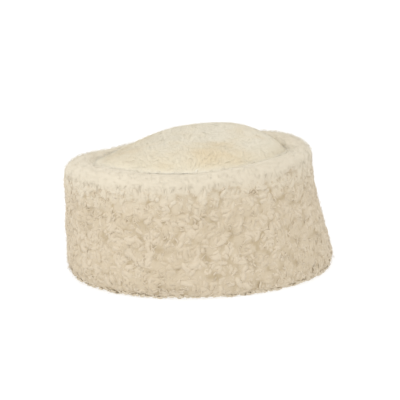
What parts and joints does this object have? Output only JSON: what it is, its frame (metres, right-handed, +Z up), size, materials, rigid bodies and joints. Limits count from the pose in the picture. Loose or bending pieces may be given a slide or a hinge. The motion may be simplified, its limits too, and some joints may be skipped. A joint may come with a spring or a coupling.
{
  "type": "fur hat",
  "caption": "Round cream shearling hat with a domed fleece crown inside a thick turned-up curly fleece cuff, hollow for the head.",
  "frame": {"origin": "middle of the hat's footprint, on the surface that its bottom edge rests on", "axes": "+Z up through the crown, -Y towards the brow, +Y towards the nape, +X towards the wearer's left"},
  "size_m": [0.2112, 0.2482, 0.1226],
  "materials": {
    "smooth_fleece": "short combed sheepskin wool, matt, cream",
    "curly_fleece": "curly sheepskin wool in small tight locks, matt, cream with darker crevices",
    "hide": "plain suede flesh side of the sheepskin, matt, pale tan"
  },
  "bodies": {
    "root": {"crown": "smooth_fleece", "cuff": "curly_fleece"}
  },
  "joints": []
}
